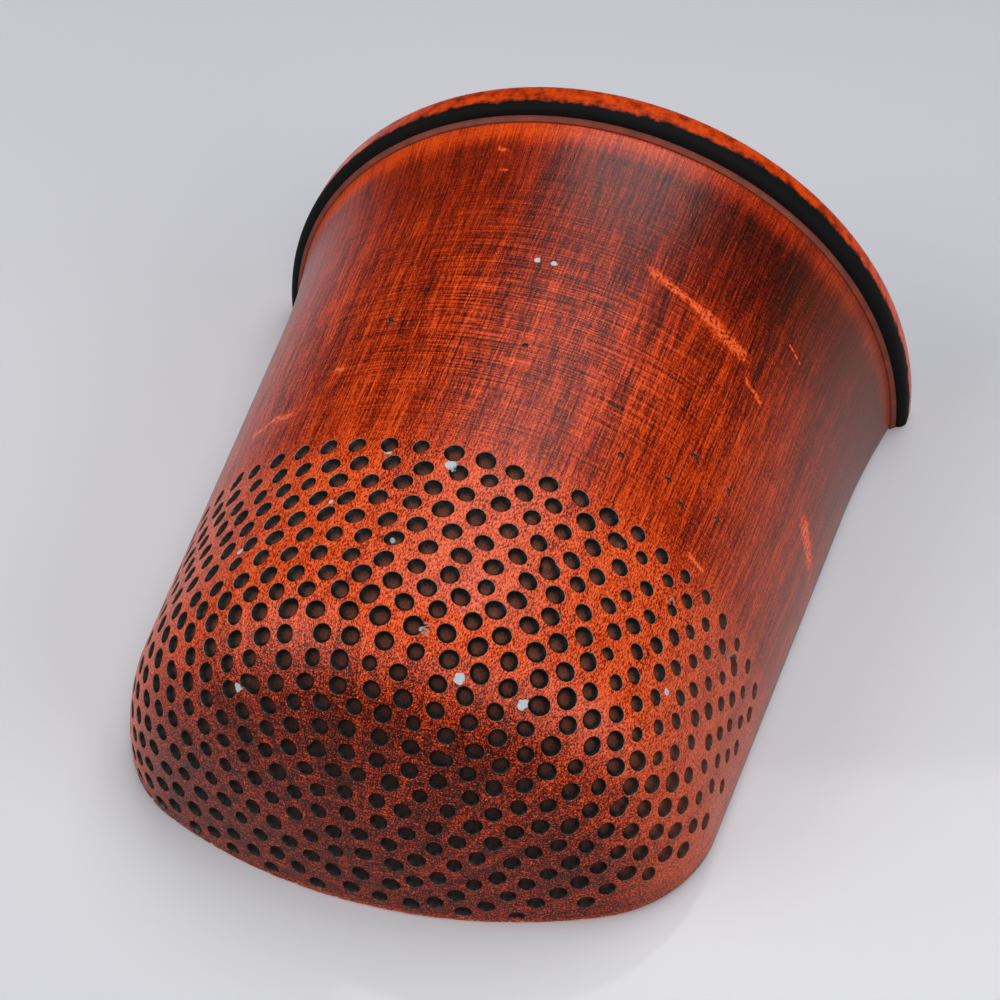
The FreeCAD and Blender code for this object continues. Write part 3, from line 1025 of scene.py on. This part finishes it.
class THIMBLE_OT_back(bpy.types.Operator):
    """Give the flat back plate and its solder run their finishes"""

    bl_idname = "thimble.add_back"
    bl_label = "Flat Back"

    def execute(self, context):
        finishes = {"back_plate": black_base_coat(), "back_solder": blackened_solder()}
        for name, material in finishes.items():
            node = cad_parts[name]
            node.data.materials.clear()
            node.data.materials.append(material)
        return {"FINISHED"}


class THIMBLE_OT_stage(bpy.types.Operator):
    """Add the table, the lights and the camera"""

    bl_idname = "thimble.add_stage"
    bl_label = "Table, Lights and Camera"

    TABLE_SIZE = 1.2
    TABLE_GAP = 0.02 * MM
    LIGHTS = (
        # name, place, point it faces, turn about its own axis in degrees, width, height, watts
        ("overhead_box", (0.063, 0.243, 0.50), (0.063, 0.243, 0.0), 15.7, 0.39, 0.35, 1.75),
        ("left_box", (-0.29, -0.17, 0.25), (0.0, 0.0, 0.0), 0.0, 0.34, 0.24, 0.9),
        ("right_box", (0.35, -0.12, 0.21), (0.0, 0.0, 0.0), 0.0, 0.28, 0.19, 0.65),
        ("front_box", (0.18, -0.36, 0.42), (0.0, 0.0, 0.0), 0.0, 0.26, 0.18, 0.8),
    )

    def add_table(self):
        deselect_all()
        bpy.ops.mesh.primitive_plane_add(size=self.TABLE_SIZE, location=(0, 0, -self.TABLE_GAP))
        table = bpy.context.object
        table.name = "table"
        table.data.materials.append(table_top())

    def add_lights(self):
        for name, place, target, turn, width, height, power in self.LIGHTS:
            deselect_all()
            bpy.ops.object.light_add(type="AREA", location=place)
            lamp = bpy.context.object
            lamp.name = name
            aim = (Vector(target) - Vector(place)).to_track_quat("-Z", "Y")
            lamp.rotation_euler = (aim @ Quaternion((0, 0, 1), math.radians(turn))).to_euler()
            lamp.data.shape = "RECTANGLE"
            lamp.data.size = width
            lamp.data.size_y = height
            lamp.data.energy = power

    def add_camera(self, stage):
        back = Vector((math.sin(stage.azimuth) * math.cos(stage.elevation),
                       -math.cos(stage.azimuth) * math.cos(stage.elevation),
                       math.sin(stage.elevation)))
        deselect_all()
        bpy.ops.object.camera_add(location=Vector(stage.aim) + back * stage.distance)
        camera = bpy.context.object
        camera.name = "camera"
        turn = (-back).to_track_quat("-Z", "Y") @ Quaternion((0, 0, 1), stage.roll)
        camera.rotation_euler = turn.to_euler()
        camera.data.lens = stage.lens
        camera.data.clip_start = 5 * MM
        bpy.context.scene.camera = camera

    def execute(self, context):
        self.add_table()
        self.add_lights()
        self.add_camera(context.scene.thimble_stage)
        world = bpy.data.worlds.new("soft room")
        world.use_nodes = True
        sky = world.node_tree.nodes["Background"]
        sky.inputs["Color"].default_value = linear(SKY)
        sky.inputs["Strength"].default_value = SKY_STRENGTH
        context.scene.world = world
        context.scene.view_settings.view_transform = "Standard"
        return {"FINISHED"}


class THIMBLE_PT_panel(bpy.types.Panel):
    """Lists the pieces and their settings"""

    bl_label = "Half-Round Thimble"
    bl_idname = "THIMBLE_PT_panel"
    bl_space_type = "VIEW_3D"
    bl_region_type = "UI"
    bl_category = "Thimble"

    def draw(self, context):
        for title, (scene_name, kind) in zip(("Shape", "Dimples", "Colours", "Camera"), GROUPS.items()):
            box = self.layout.box()
            box.label(text=title)
            for name in kind.__annotations__:
                box.prop(getattr(context.scene, scene_name), name)
        for operator in PIECES:
            self.layout.operator(operator.bl_idname)


GROUPS = {
    "thimble_shape": ThimbleShape,
    "thimble_dimples": ThimbleDimples,
    "thimble_colours": ThimbleColours,
    "thimble_stage": ThimbleStage,
}
PIECES = (THIMBLE_OT_shell, THIMBLE_OT_lip, THIMBLE_OT_back, THIMBLE_OT_stage)


def register():
    for name, group in GROUPS.items():
        bpy.utils.register_class(group)
        setattr(bpy.types.Scene, name, PointerProperty(type=group))
    for operator in PIECES:
        bpy.utils.register_class(operator)
    bpy.utils.register_class(THIMBLE_PT_panel)


def unregister():
    bpy.utils.unregister_class(THIMBLE_PT_panel)
    for operator in reversed(PIECES):
        bpy.utils.unregister_class(operator)
    for name, group in reversed(GROUPS.items()):
        delattr(bpy.types.Scene, name)
        bpy.utils.unregister_class(group)


def main():
    register()
    bpy.ops.thimble.add_shell()
    bpy.ops.thimble.add_lip()
    bpy.ops.thimble.add_back()
    bpy.ops.thimble.add_stage()


if __name__ == "__main__":
    main()
